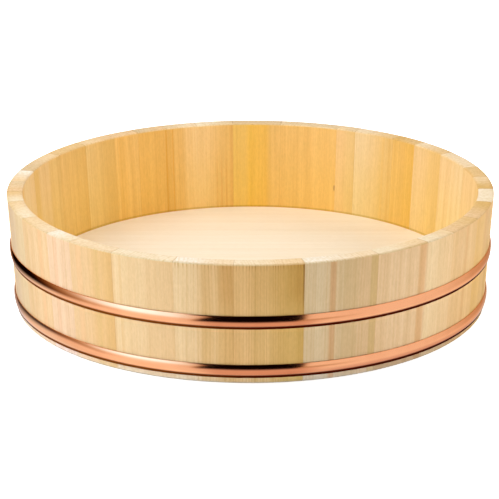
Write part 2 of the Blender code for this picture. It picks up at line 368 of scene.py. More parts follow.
# What the copper reflects: start, end and the softness of either end in degrees
DARK = (-158, 25, 16, 4)
DARK_LEVEL = 0.004
LEFT_BOX = (-86, -24, 72, 6)
LEFT_BOX_SPREAD = (0.5, -0.3)
LEFT_BOX_FADE = (-50, -22, 0.88)
LEFT_BOX_MIDDLE = -0.22
LEFT_BOX_LEVEL = 1.25
GLARE = (-74, -34, 48, 30)
GLARE_HEIGHT = (-18, -6)
GLARE_COLOUR = (1.2, 2.4, 3.7)
RIGHT_CARD = (25, 122, 4, 80)
RIGHT_CARD_LEVEL = 0.99
DARK_TAIL = (22, 44, 4, 28)
DARK_TAIL_HEIGHT = (-0.50, -0.36, -0.22)
DARK_TAIL_LEVEL = 0.55
REST_LEVEL = 0.56
WARM_SHADE = (1.35, 1.85)
TABLE_EDGE = -23
TABLE_SOFT = 6
TABLE_LEFT = (-84, -38, 30, 14)
TABLE_LEFT_LEVEL = 1.16
TABLE_FAR_LEFT = (-190, -112, 20, 30)
TABLE_FAR_LEFT_COLOUR = (0.97, 1.18, 1.42)
TABLE_FRONT = (-24, 32, 16, 18)
TABLE_FRONT_COLOUR = (0.76, 0.58, 0.54)
TABLE_LEVEL = 1.0

# The camera, fitted to the photograph
CAMERA_PLACE = (0.0, -1.7365, 0.6387)
CAMERA_TARGET = (0.0, 0.0, 0.0505)
CAMERA_LENS = 151.55
CAMERA_SHIFT = (-0.0018, -0.0190)
CAMERA_ROLL = -0.0015

# Where the tub's pieces lie, read from the frame
tub_height = cad_box[1].z


def reach(node):
    """The greatest distance of a node from the centre line."""
    return max(corner.co.xy.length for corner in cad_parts[node].data.vertices)


rim_radius = reach("stave_01")
floor_low, floor_high = (corner.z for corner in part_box("floor_plank_1"))
tongue_radius = reach("floor_plank_1")


def wall_outer(height):
    """Radius of the wall's outer face at a height."""
    return rim_radius - (tub_height - height) * math.tan(WALL_LEAN)


def wall_inner(height):
    """Radius of the wall's inner face at a height."""
    return wall_outer(height) - WALL_THICKNESS


# Meshes


def outline_corner(centre, radius, start, end):
    """Points round a quarter or so of a circle, from one angle to another in degrees."""
    points = []
    for step in range(CORNER_STEPS + 1):
        angle = math.radians(start + (end - start) * step / CORNER_STEPS)
        points.append((centre[0] + radius * math.cos(angle), centre[1] + radius * math.sin(angle)))
    return points


def shaded(bm, name):
    """A smooth-shaded mesh with crisp arrises from a bmesh."""
    bmesh.ops.recalc_face_normals(bm, faces=bm.faces)
    mesh = bpy.data.meshes.new(name)
    bm.to_mesh(mesh)
    bm.free()
    mesh.shade_smooth()
    mesh.set_sharp_from_angle(angle=CRISP_EDGE)
    return mesh


def add_piece(name, mesh, material, replaced, turn=0.0):
    """Put one finished piece in place of the frame's own."""
    mesh.materials.append(material)
    piece = bpy.data.objects.new(name, mesh)
    piece.rotation_euler.z = turn
    bpy.context.scene.collection.objects.link(piece)
    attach(piece, "root")
    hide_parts(*replaced)
    return piece


# The staves


def stave_section(step):
    """Closed outline of a stave as (radius, height) points, from its foot up the outside."""
    top = tub_height - 0.5 * step
    outside = -PLANED - step
    inside = 0.5 * step
    shoulder = top - RIM_ROUNDING
    foot_outer = wall_outer(FOOT_CHAMFER) + outside
    foot_inner = wall_inner(FOOT_CHAMFER) + inside
    groove_low = (floor_low + floor_high - FLOOR_TONGUE) / 2 - GROOVE_PLAY
    groove_high = groove_low + FLOOR_TONGUE + 2 * GROOVE_PLAY
    groove_bottom = tongue_radius + GROOVE_PLAY
    rim_outer = (wall_outer(shoulder) + outside - RIM_ROUNDING, shoulder)
    rim_inner = (wall_inner(shoulder) + inside + RIM_ROUNDING, shoulder)
    section = [
        (foot_inner + FOOT_CHAMFER, 0.0),
        (foot_outer - FOOT_CHAMFER, 0.0),
        (foot_outer, FOOT_CHAMFER),
    ]
    section += outline_corner(rim_outer, RIM_ROUNDING, 0, 90)
    section += outline_corner(rim_inner, RIM_ROUNDING, 90, 180)
    section += [
        (wall_inner(groove_high) + inside, groove_high),
        (groove_bottom, groove_high),
        (groove_bottom, groove_low),
        (wall_inner(groove_low) + inside, groove_low),
        (foot_inner, FOOT_CHAMFER),
    ]
    return section


def stave_mesh(name, sweep, step):
    """Solid swept by the stave's section about the centre line, with eased joint edges."""
    bm = bmesh.new()
    corners = [bm.verts.new((across, 0.0, up)) for across, up in stave_section(step)]
    bm.faces.new(corners)
    first_edge = Matrix.Rotation(-sweep / 2, 3, "Z")
    bmesh.ops.rotate(bm, verts=bm.verts, cent=(0, 0, 0), matrix=first_edge)
    bmesh.ops.spin(
        bm,
        geom=bm.verts[:] + bm.edges[:] + bm.faces[:],
        cent=(0, 0, 0),
        axis=(0, 0, 1),
        angle=sweep,
        steps=math.ceil(sweep / TURN_STEP),
        use_duplicate=False,
    )
    ends = [face for face in bm.faces if len(face.verts) == len(corners)]
    arrises = list({edge for face in ends for edge in face.edges})
    bmesh.ops.bevel(
        bm,
        geom=arrises,
        offset=JOINT_EASE,
        offset_type="OFFSET",
        segments=1,
        affect="EDGES",
        clamp_overlap=True,
    )
    return shaded(bm, name)


def stave_span(node):
    """The angle of a stave's middle, and how far its rim runs either side of it."""
    top = [corner.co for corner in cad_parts[node].data.vertices]
    top = [place for place in top if place.z > tub_height - FOOT_CHAMFER / 2]
    first = math.atan2(top[0].y, top[0].x)
    offsets = []
    for place in top:
        offset = math.atan2(place.y, place.x) - first
        offsets.append((offset + math.pi) % (2 * math.pi) - math.pi)
    middle = first + (min(offsets) + max(offsets)) / 2
    return middle, (max(offsets) - min(offsets)) / 2


def fold(number):
    """A repeatable value between 0 and 1 for a piece's number."""
    return (number * 0.6180339887) % 1.0


def build_staves(grain):
    """The ring of staves, planed nearly flush, each of its own tone."""
    filled = sum(2 * stave_span(f"stave_{number:02d}")[1] for number in range(1, STAVE_COUNT + 1))
    cad_gap = (2 * math.pi - filled) / STAVE_COUNT
    for number, look in enumerate(STAVES, start=1):
        node = f"stave_{number:02d}"
        middle, half = stave_span(node)
        sweep = 2 * half + cad_gap - JOINT_GAP / rim_radius
        step = STAVE_STEP * fold(number)
        azimuth = (math.degrees(middle) + 90) % 360
        wood = stave_wood(f"{node}_sawara", grain, number, sweep / 2, look, azimuth)
        add_piece(f"{node}_planed", stave_mesh(node, sweep, step), wood, [node], turn=middle)


# The floor


def floor_edge():
    """The floor's edge as (radius, height) points, from its top face to its underside."""
    middle = (floor_low + floor_high) / 2
    tongue_high = middle + FLOOR_TONGUE / 2
    tongue_low = middle - FLOOR_TONGUE / 2
    upper_lip = wall_inner(tongue_high) - GROOVE_PLAY
    lower_lip = wall_inner(tongue_low) - GROOVE_PLAY
    ease = SEAM_EASE
    return [
        (upper_lip - FLOOR_BEVEL - ease, floor_high),
        (upper_lip - FLOOR_BEVEL + ease, floor_high - ease),
        (upper_lip, tongue_high),
        (tongue_radius, tongue_high),
        (tongue_radius, tongue_low),
        (lower_lip, tongue_low),
        (lower_lip - FLOOR_BEVEL + ease, floor_low + ease),
        (lower_lip - FLOOR_BEVEL - ease, floor_low),
    ]


def close_openings(bm):
    """Fill every hole in the mesh with one flat face."""
    rims = [edge for edge in bm.edges if edge.is_boundary]
    return bmesh.ops.holes_fill(bm, edges=rims, sides=0)["faces"]


def plank_mesh(name, front, back):
    """The stretch of the round floor between two seams; None stands for the floor's own edge."""
    bm = bmesh.new()
    corners = [bm.verts.new((across, 0.0, up)) for across, up in floor_edge()]
    for start, end in zip(corners[:-1], corners[1:]):
        bm.edges.new((start, end))
    bmesh.ops.spin(
        bm,
        geom=bm.verts[:] + bm.edges[:],
        cent=(0, 0, 0),
        axis=(0, 0, 1),
        angle=2 * math.pi,
        steps=FLOOR_STEPS,
        use_merge=True,
        use_duplicate=False,
    )
    close_openings(bm)
    for seam, outwards in ((front, -1), (back, 1)):
        if seam is not None:
            bmesh.ops.bisect_plane(
                bm,
                geom=bm.verts[:] + bm.edges[:] + bm.faces[:],
                plane_co=(0.0, seam - outwards * JOINT_GAP / 2, 0.0),
                plane_no=(0.0, outwards, 0.0),
                clear_outer=True,
            )
            cut = close_openings(bm)
            arrises = [edge for face in cut for edge in face.edges]
            bmesh.ops.bevel(
                bm,
                geom=arrises,
                offset=SEAM_EASE,
                offset_type="OFFSET",
                segments=1,
                affect="EDGES",
                clamp_overlap=True,
            )
    return shaded(bm, name)


def plank_seams():
    """Where the seams between planks lie along Y, from front to back."""
    seams = []
    for number in range(1, PLANK_COUNT):
        this_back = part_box(f"floor_plank_{number}")[1].y
        next_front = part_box(f"floor_plank_{number + 1}")[0].y
        seams.append((this_back + next_front) / 2)
    return seams


def build_floor(grain):
    """The planks, laid edge to edge."""
    bounds = [None] + plank_seams() + [None]
    for number, (front, back) in enumerate(zip(bounds[:-1], bounds[1:]), start=1):
        node = f"floor_plank_{number}"
        wood = plank_wood(f"{node}_sawara", grain, number, FLOOR_TONES[number - 1])
        add_piece(f"{node}_planed", plank_mesh(node, front, back), wood, [node])


# The hoops


def hoop_section(node):
    """Closed outline of a hoop as (radius, height) points, down its crowned outer face."""
    low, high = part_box(node)
    width = (high.z - low.z) / math.cos(WALL_LEAN) - HOOP_LIP
    outline = []
    for step in range(CROWN_STEPS + 1):
        along = 1 - step / CROWN_STEPS
        proud = HOOP_EDGE + HOOP_CROWN * (1 - (2 * along - 1) ** 2)
        outline.append((HOOP_LIP + along * (width - 2 * HOOP_LIP), proud))
    outline += outline_corner((HOOP_LIP, HOOP_EDGE - HOOP_LIP), HOOP_LIP, 105, 180)
    outline += [(0.0, 0.0), (width, 0.0)]
    outline += outline_corner((width - HOOP_LIP, HOOP_EDGE - HOOP_LIP), HOOP_LIP, 0, 75)
    seat = wall_outer(low.z) + HOOP_SEAT
    section = []
    for along, proud in outline:
        across = seat + along * math.sin(WALL_LEAN) + proud * math.cos(WALL_LEAN)
        up = low.z + HOOP_LIP + along * math.cos(WALL_LEAN) - proud * math.sin(WALL_LEAN)
        section.append((across, up))
    return section


def build_hoop(node, reflected_shade, tip):
    """A crowned band of polished copper drawn tight on the leaning wall."""
    bm = bmesh.new()
    corners = [bm.verts.new((across, 0.0, up)) for across, up in hoop_section(node)]
    for start, end in zip(corners, corners[1:] + corners[:1]):
        bm.edges.new((start, end))
    bmesh.ops.spin(
        bm,
        geom=bm.verts[:] + bm.edges[:],
        cent=(0, 0, 0),
        axis=(0, 0, 1),
        angle=2 * math.pi,
        steps=HOOP_STEPS,
        use_merge=True,
        use_duplicate=False,
    )
    low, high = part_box(node)
    copper = polished_copper(f"{node}_copper", low.z, high.z, reflected_shade, tip)
    add_piece(f"{node}_polished", shaded(bm, node), copper, [node])


# Shader nodes


def plug(tree, socket, value):
    """Link a socket to another one, or set its plain value."""
    if isinstance(value, bpy.types.NodeSocket):
        tree.links.new(value, socket)
    else:
        socket.default_value = value


def arithmetic(tree, operation, *values):
    """The result of a Math node."""
    node = tree.nodes.new("ShaderNodeMath")
    node.operation = operation
    for socket, value in zip(node.inputs, values):
        plug(tree, socket, value)
    return node.outputs["Value"]


def vector_math(tree, operation, *values):
    """The vector that a Vector Math node gives."""
    node = tree.nodes.new("ShaderNodeVectorMath")
    node.operation = operation
    for socket, value in zip(node.inputs, values):
        plug(tree, socket, value)
    return node.outputs["Vector"]


def combine(tree, x, y, z):
    """A vector from three values."""
    node = tree.nodes.new("ShaderNodeCombineXYZ")
    for socket, value in zip(node.inputs, (x, y, z)):
        plug(tree, socket, value)
    return node.outputs["Vector"]


def split(tree, vector):
    """A vector's three values."""
    node = tree.nodes.new("ShaderNodeSeparateXYZ")
    tree.links.new(vector, node.inputs["Vector"])
    return node.outputs["X"], node.outputs["Y"], node.outputs["Z"]


def rise(tree, value, low, high, start=0.0, end=1.0):
    """A smooth run from start to end while a value goes from low up to high."""
    node = tree.nodes.new("ShaderNodeMapRange")
    node.interpolation_type = "SMOOTHSTEP"
    for name, number in (
        ("Value", value),
        ("From Min", low),
        ("From Max", high),
        ("To Min", start),
        ("To Max", end),
    ):
        plug(tree, node.inputs[name], number)
    return node.outputs["Result"]


def noise(tree, vector, scale, detail=2.0, roughness=0.5):
    """Noise between 0 and 1 at a place."""
    node = tree.nodes.new("ShaderNodeTexNoise")
    node.noise_dimensions = "3D"
    tree.links.new(vector, node.inputs["Vector"])
    node.inputs["Scale"].default_value = scale
    node.inputs["Detail"].default_value = detail
    node.inputs["Roughness"].default_value = roughness
    return node.outputs["Fac"]


def noise_along(tree, value, scale, detail=2.0):
    """Noise between 0 and 1 along one value."""
    node = tree.nodes.new("ShaderNodeTexNoise")
    node.noise_dimensions = "1D"
    tree.links.new(value, node.inputs["W"])
    node.inputs["Scale"].default_value = scale
    node.inputs["Detail"].default_value = detail
    return node.outputs["Fac"]


def blend(tree, share, first, second, how="MIX"):
    """Two colours mixed by a share between 0 and 1."""
    node = tree.nodes.new("ShaderNodeMix")
    node.data_type = "RGBA"
    node.blend_type = how
    plug(tree, node.inputs["Factor"], share)
    for name, colour in (("A", first), ("B", second)):
        socket = next(s for s in node.inputs if s.name == name and s.type == "RGBA")
        plug(tree, socket, (*colour, 1.0) if isinstance(colour, tuple) else colour)
    return next(s for s in node.outputs if s.type == "RGBA")


# Wood

GRAIN_INPUTS = (
    ("Point", "NodeSocketVector"),
    ("First Tone", "NodeSocketColor"),
    ("Last Tone", "NodeSocketColor"),
    ("Place Across", "NodeSocketFloat"),
    ("Pith Across", "NodeSocketFloat"),
    ("Pith Along", "NodeSocketFloat"),
    ("Ring Pitch", "NodeSocketFloat"),
    ("Ring Strength", "NodeSocketFloat"),
    ("Figure", "NodeSocketFloat"),
    ("Seed", "NodeSocketFloat"),
)


def grain_group():
    """Sawara as a solid: x across the wall, y along it, z up the grain."""
    tree = bpy.data.node_groups.new("sawara_grain", "ShaderNodeTree")
    for name, kind in GRAIN_INPUTS:
        tree.interface.new_socket(name, in_out="INPUT", socket_type=kind)
    for name, kind in (
        ("Color", "Color"),
        ("Roughness", "Float"),
        ("Height", "Float"),
        ("Ring", "Float"),
        ("Fleck", "Float"),
    ):
        tree.interface.new_socket(name, in_out="OUTPUT", socket_type=f"NodeSocket{kind}")
    given = tree.nodes.new("NodeGroupInput").outputs
    result = tree.nodes.new("NodeGroupOutput").inputs

    seed_shift = combine(tree, given["Seed"], given["Seed"], given["Seed"])
    place = vector_math(tree, "ADD", given["Point"], seed_shift)
    x, y, _ = split(tree, given["Point"])

    # Growth rings round a pith that lies outside the piece, wandering a little along the grain
    slow = noise(tree, vector_math(tree, "MULTIPLY", place, WANDER_SCALE), 1.0)
    wander = arithmetic(tree, "MULTIPLY", arithmetic(tree, "SUBTRACT", slow, 0.5), WANDER)
    across = arithmetic(tree, "SUBTRACT", x, given["Pith Across"])
    along = arithmetic(tree, "SUBTRACT", y, given["Pith Along"])
    squares = arithmetic(
        tree,
        "ADD",
        arithmetic(tree, "MULTIPLY", across, across),
        arithmetic(tree, "MULTIPLY", along, along),
    )
    radius = arithmetic(tree, "ADD", arithmetic(tree, "SQRT", squares), wander)
    place_in_tree = arithmetic(tree, "ADD", radius, given["Seed"])
    uneven = arithmetic(tree, "MULTIPLY", noise_along(tree, place_in_tree, UNEVEN_SCALE), UNEVEN)
    ring = arithmetic(tree, "ADD", arithmetic(tree, "DIVIDE", radius, given["Ring Pitch"]), uneven)
    within = arithmetic(tree, "FRACT", ring)
    late = arithmetic(
        tree, "MULTIPLY", rise(tree, within, 0.35, 0.88), rise(tree, within, 0.92, 1.0, 1.0, 0.0)
    )
    year = noise_along(tree, arithmetic(tree, "FLOOR", ring), YEAR_SCALE, 0.0)
    late = arithmetic(tree, "MULTIPLY", late, rise(tree, year, 0.3, 0.7, 0.3, 1.0))
    tree.links.new(late, result["Ring"])
    late = arithmetic(tree, "MULTIPLY", late, given["Ring Strength"])

    # Broad bands of colour that follow the rings, and streaks and fibres within them
    band = noise_along(tree, place_in_tree, BAND_SCALE, 3.0)
    streak = noise(tree, vector_math(tree, "MULTIPLY", place, STREAK_SCALE), 1.0, 3.0)
    fibre = noise(tree, vector_math(tree, "MULTIPLY", place, FIBRE_SCALE), 1.0, 2.0)
    speck = noise(tree, vector_math(tree, "MULTIPLY", place, SPECK_SCALE), 1.0, 2.0)
    cloud = noise(tree, vector_math(tree, "MULTIPLY", place, CLOUD_SCALE), 1.0, 2.0)

    tree.links.new(rise(tree, streak, 0.35, 0.65), result["Fleck"])

    edge = arithmetic(tree, "ADD", given["Place Across"], arithmetic(tree, "SUBTRACT", band, 0.5))
    tone = blend(tree, rise(tree, edge, -0.9, 0.9), given["First Tone"], given["Last Tone"])
    for pattern, (light, dark) in ((band, BAND_TINTS), (streak, STREAK_TINTS)):
        off = arithmetic(tree, "SUBTRACT", rise(tree, pattern, 0.3, 0.7), 0.5)
        share = arithmetic(tree, "ADD", 0.5, arithmetic(tree, "MULTIPLY", off, given["Figure"]))
        tone = tinted(tree, tone, share, light, dark)
    for pattern, tints in ((speck, SPECK_TINTS), (cloud, CLOUD_TINTS), (fibre, FIBRE_TINTS)):
        tone = tinted(tree, tone, rise(tree, pattern, 0.3, 0.7), *tints)
    tone = tinted(tree, tone, late, WHITE, LATEWOOD)
    tree.links.new(tone, result["Color"])

    rough = rise(tree, fibre, 0.2, 0.8, *WOOD_ROUGHNESS)
    smoother = arithmetic(tree, "MULTIPLY", late, LATEWOOD_SMOOTHER)
    rough = arithmetic(tree, "SUBTRACT", rough, smoother)
    tree.links.new(rough, result["Roughness"])
    fibre_height = arithmetic(tree, "MULTIPLY", fibre, 0.6)
    height = arithmetic(tree, "ADD", fibre_height, arithmetic(tree, "MULTIPLY", late, 0.5))
    tree.links.new(height, result["Height"])
    return tree


def tinted(tree, tone, share, light, dark):
    """A tone multiplied by a tint that runs from light to dark with a share."""
    return blend(tree, 1.0, tone, blend(tree, share, light, dark), "MULTIPLY")


def new_material(name):
    """A material, its node tree, its Principled shader and its object coordinates."""
    material = bpy.data.materials.new(name)
    material.use_nodes = True
    tree = material.node_tree
    shader = tree.nodes["Principled BSDF"]
    point = tree.nodes.new("ShaderNodeTexCoord").outputs["Object"]
    return material, tree, shader, point


def add_bump(tree, shader, height, depth, tip=None):
    """Relief of a depth in metres, on a face whose normal may be tipped up by a little."""
    node = tree.nodes.new("ShaderNodeBump")
    node.inputs["Strength"].default_value = 1.0
    node.inputs["Distance"].default_value = depth
    tree.links.new(height, node.inputs["Height"])
    normal = node.outputs["Normal"]
    if tip:
        normal = vector_math(tree, "NORMALIZE", vector_math(tree, "ADD", normal, tip))
    tree.links.new(normal, shader.inputs["Normal"])


def add_grain(tree, grain, sources, values):
    """The grain group with its sources linked and its values set."""
    node = tree.nodes.new("ShaderNodeGroup")
    node.node_tree = grain
    for name, source in sources.items():
        tree.links.new(source, node.inputs[name])
    for name, value in values.items():
        node.inputs[name].default_value = (*value, 1.0) if isinstance(value, tuple) else value
    return node.outputs


def stave_wood(name, grain, number, half_turn, look, azimuth):
    """A stave's wood: warmer on the inside with painted bounce light, paler on the sawn ends."""
    first, last, rim_first, rim_last, pitch, strength, turn = look
    material, tree, shader, point = new_material(name)
    x, y, z = split(tree, point)
    lean = arithmetic(tree, "SUBTRACT", tub_height, z)
    lean = arithmetic(tree, "MULTIPLY", lean, math.tan(WALL_LEAN))
    lean = arithmetic(tree, "SUBTRACT", lean, rim_radius)
    across = arithmetic(tree, "ADD", x, lean)
    place = arithmetic(tree, "DIVIDE", arithmetic(tree, "ARCTAN2", y, x), half_turn)
    side = 1 if number % 2 else -1
    low, high, start, end = RING_FADE.get(number, (-1.0, 1.0, 1.0, 1.0))
    rings = rise(tree, place, low, high, start * strength, end * strength)
    grain_of = add_grain(
        tree,
        grain,
        {"Point": combine(tree, across, y, z), "Place Across": place, "Ring Strength": rings},
        {
            "First Tone": TONES[first],
            "Last Tone": TONES[last],
            "Pith Across": -PITH_DISTANCE * math.sin(math.radians(turn)),
            "Pith Along": side * PITH_DISTANCE * math.cos(math.radians(turn)),
            "Ring Pitch": pitch / 1000,
            "Figure": STRONG_FIGURE.get(number, FIGURE),
            "Seed": 3.7 * number,
        },
    )
    radius = vector_length(tree, combine(tree, x, y, 0.0))
    depth = arithmetic(tree, "ADD", radius, lean)
    inside = rise(tree, depth, -0.75 * WALL_THICKNESS, -0.35 * WALL_THICKNESS, 1.0, 0.0)
    out = arithmetic(tree, "SUBTRACT", 1.0, inside)
    # Painted bounce light: the inside is warmer, most of all low down near the floor
    bounce_warmth = blend(tree, rise(tree, z, floor_high, tub_height), INSIDE_BOUNCE_LOW, INSIDE_BOUNCE_HIGH)
    colour = tinted(tree, grain_of["Color"], inside, WHITE, bounce_warmth)
    # Streaks, and on a few staves painted light and a painted shadow line
    for middle, half, tint, where in STREAKS_AND_PAINTED_LIGHT.get(number, ()):
        off = arithmetic(tree, "ABSOLUTE", arithmetic(tree, "SUBTRACT", place, middle))
        share = rise(tree, off, 0.5 * half, half, 1.0, 0.0)
        if where:
            start, end = (0.0, 1.0) if where > 0 else (1.0, 0.0)
            share = arithmetic(tree, "MULTIPLY", share, rise(tree, z, *STREAK_FADE, start, end))
        colour = tinted(tree, colour, share, WHITE, tint)
    off = arithmetic(tree, "ABSOLUTE", arithmetic(tree, "SUBTRACT", z, floor_high))
    line = arithmetic(tree, "MULTIPLY", inside, rise(tree, off, *FLOOR_LINE, 1.0, 0.0))
    colour = tinted(tree, colour, line, WHITE, FLOOR_LINE_TINT)
    if number in DASHED:
        near_rim = rise(tree, z, tub_height - DASH_REACH, tub_height)
        dashes = arithmetic(tree, "MULTIPLY", grain_of["Ring"], near_rim)
        colour = tinted(tree, colour, arithmetic(tree, "MULTIPLY", dashes, out), WHITE, DASH_TINT)
    if number == PIN_MARK[0]:
        colour = marked(tree, colour, place, z, half_turn)
    top = rise(tree, z, tub_height - 0.9 * RIM_ROUNDING, tub_height - 0.3 * RIM_ROUNDING)
    end_grain = blend(tree, rise(tree, place, -0.8, 0.8), RIM_TONES[rim_first], RIM_TONES[rim_last])
    end_grain = tinted(tree, end_grain, grain_of["Ring"], WHITE, RIM_RINGS)
    end_grain = tinted(tree, end_grain, grain_of["Fleck"], RIM_FLECK_DARK, RIM_FLECK_LIGHT)
    # Painted light and shade along the rim's outer and inner edge, by azimuth
    outer_shade, inner_light_and_shade = next(tints for limit, *tints in RIM_EDGE_LIGHT_AND_SHADE if azimuth < limit)
    end_grain = tinted(tree, end_grain, rise(tree, depth, -RIM_EDGE, 0.0), WHITE, outer_shade)
    inner_edge = rise(tree, depth, -WALL_THICKNESS, RIM_EDGE - WALL_THICKNESS, 1.0, 0.0)
    end_grain = tinted(tree, end_grain, inner_edge, WHITE, inner_light_and_shade)
    edge = rise(tree, arithmetic(tree, "ABSOLUTE", place), 1 - JOINT_SHADE_REACH / half_turn, 1.0)
    end_grain = tinted(tree, end_grain, edge, WHITE, JOINT_SHADE)
    colour = blend(tree, top, colour, end_grain)
    # Painted light on the wood just under each hoop
    for hoop in ("upper_hoop", "lower_hoop"):
        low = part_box(hoop)[0].z
        under = arithmetic(
            tree,
            "MULTIPLY",
            rise(tree, z, *(low - reach for reach in HOOP_BOUNCE_LIGHT_REACH)),
            rise(tree, z, low, low + 0.001, 1.0, 0.0),
        )
        colour = tinted(tree, colour, arithmetic(tree, "MULTIPLY", under, out), WHITE, HOOP_BOUNCE_LIGHT)
    band = rise(tree, z, FOOT_BAND, FOOT_BAND + 0.001, 1.0, 0.0)
    colour = tinted(tree, colour, band, WHITE, FOOT_TINT[FOOT_SHADE[0] < azimuth < FOOT_SHADE[1]])
    # Painted shade on the foot's outer chamfer, which faces down
    foot = rise(tree, z, 0.5 * FOOT_CHAMFER, FOOT_CHAMFER, 0.8, 0.0)
    outermost = rise(tree, depth, -2.5 * FOOT_CHAMFER, -1.2 * FOOT_CHAMFER)
    foot = arithmetic(tree, "MULTIPLY", foot, outermost)
    colour = blend(tree, foot, colour, FOOT_CHAMFER_SHADE)
    tree.links.new(colour, shader.inputs["Base Color"])
    tree.links.new(grain_of["Roughness"], shader.inputs["Roughness"])
    add_bump(tree, shader, grain_of["Height"], WOOD_RELIEF)
    return material


def marked(tree, colour, place, z, half_turn):
    """The colour with a pin's small brown end in it."""
    middle, height, size = PIN_MARK[1:]
    off = arithmetic(tree, "SUBTRACT", place, middle)
    off = arithmetic(tree, "MULTIPLY", off, 2 * half_turn * rim_radius)
    up = arithmetic(tree, "MULTIPLY", arithmetic(tree, "SUBTRACT", z, height), 0.6)
    away = vector_length(tree, combine(tree, off, up, 0.0))
    return blend(tree, rise(tree, away, 0.5 * size, size, 1.0, 0.0), colour, MARK_BROWN)


def vector_length(tree, vector):
    """The length of a vector."""
    node = tree.nodes.new("ShaderNodeVectorMath")
    node.operation = "LENGTH"
    tree.links.new(vector, node.inputs[0])
    return node.outputs["Value"]


def plank_wood(name, grain, number, tone):
    """A floor plank's wood, with its grain along X."""
    material, tree, shader, point = new_material(name)
    x, y, z = split(tree, point)
    pith_across, pith_along = PLANK_PITH
    grain_of = add_grain(
        tree,
        grain,
        {"Point": combine(tree, z, y, x)},
        {
            "First Tone": tone,
            "Last Tone": tone,
            "Pith Across": pith_across,
            "Pith Along": pith_along if number % 2 else -pith_along,
            "Ring Pitch": PLANK_RING_PITCH,
            "Ring Strength": PLANK_RING_STRENGTH,
            "Figure": FIGURE,
            "Seed": 11.3 * number,
        },
    )
    colour = blend(tree, FLOOR_EVEN, grain_of["Color"], tone)
    underneath = rise(tree, z, floor_low, floor_low + 0.002, 1.0, 0.0)
    for seam in plank_seams():
        off = arithmetic(tree, "ABSOLUTE", arithmetic(tree, "SUBTRACT", y, seam))
        line = rise(tree, off, 0.0, PLANK_SEAM, 1.0, 0.0)
        line = arithmetic(tree, "MULTIPLY", line, underneath)
        colour = tinted(tree, colour, line, WHITE, PLANK_SEAM_TINT)
    tree.links.new(colour, shader.inputs["Base Color"])
    tree.links.new(grain_of["Roughness"], shader.inputs["Roughness"])
    add_bump(tree, shader, grain_of["Height"], WOOD_RELIEF)
    return material


def shaved_bamboo():
    """Bamboo with its fibres along Y, as the pins across the floor's seams lie."""
    material, tree, shader, point = new_material("shaved_bamboo")
    fibre = noise(tree, vector_math(tree, "MULTIPLY", point, BAMBOO_SCALE), 1.0, 2.0)
    colour = tinted(tree, BAMBOO, fibre, *BAMBOO_TINTS)
    tree.links.new(colour, shader.inputs["Base Color"])
    tree.links.new(rise(tree, fibre, 0.2, 0.8, *BAMBOO_ROUGHNESS), shader.inputs["Roughness"])
    add_bump(tree, shader, fibre, WOOD_RELIEF)
    return material


# Copper


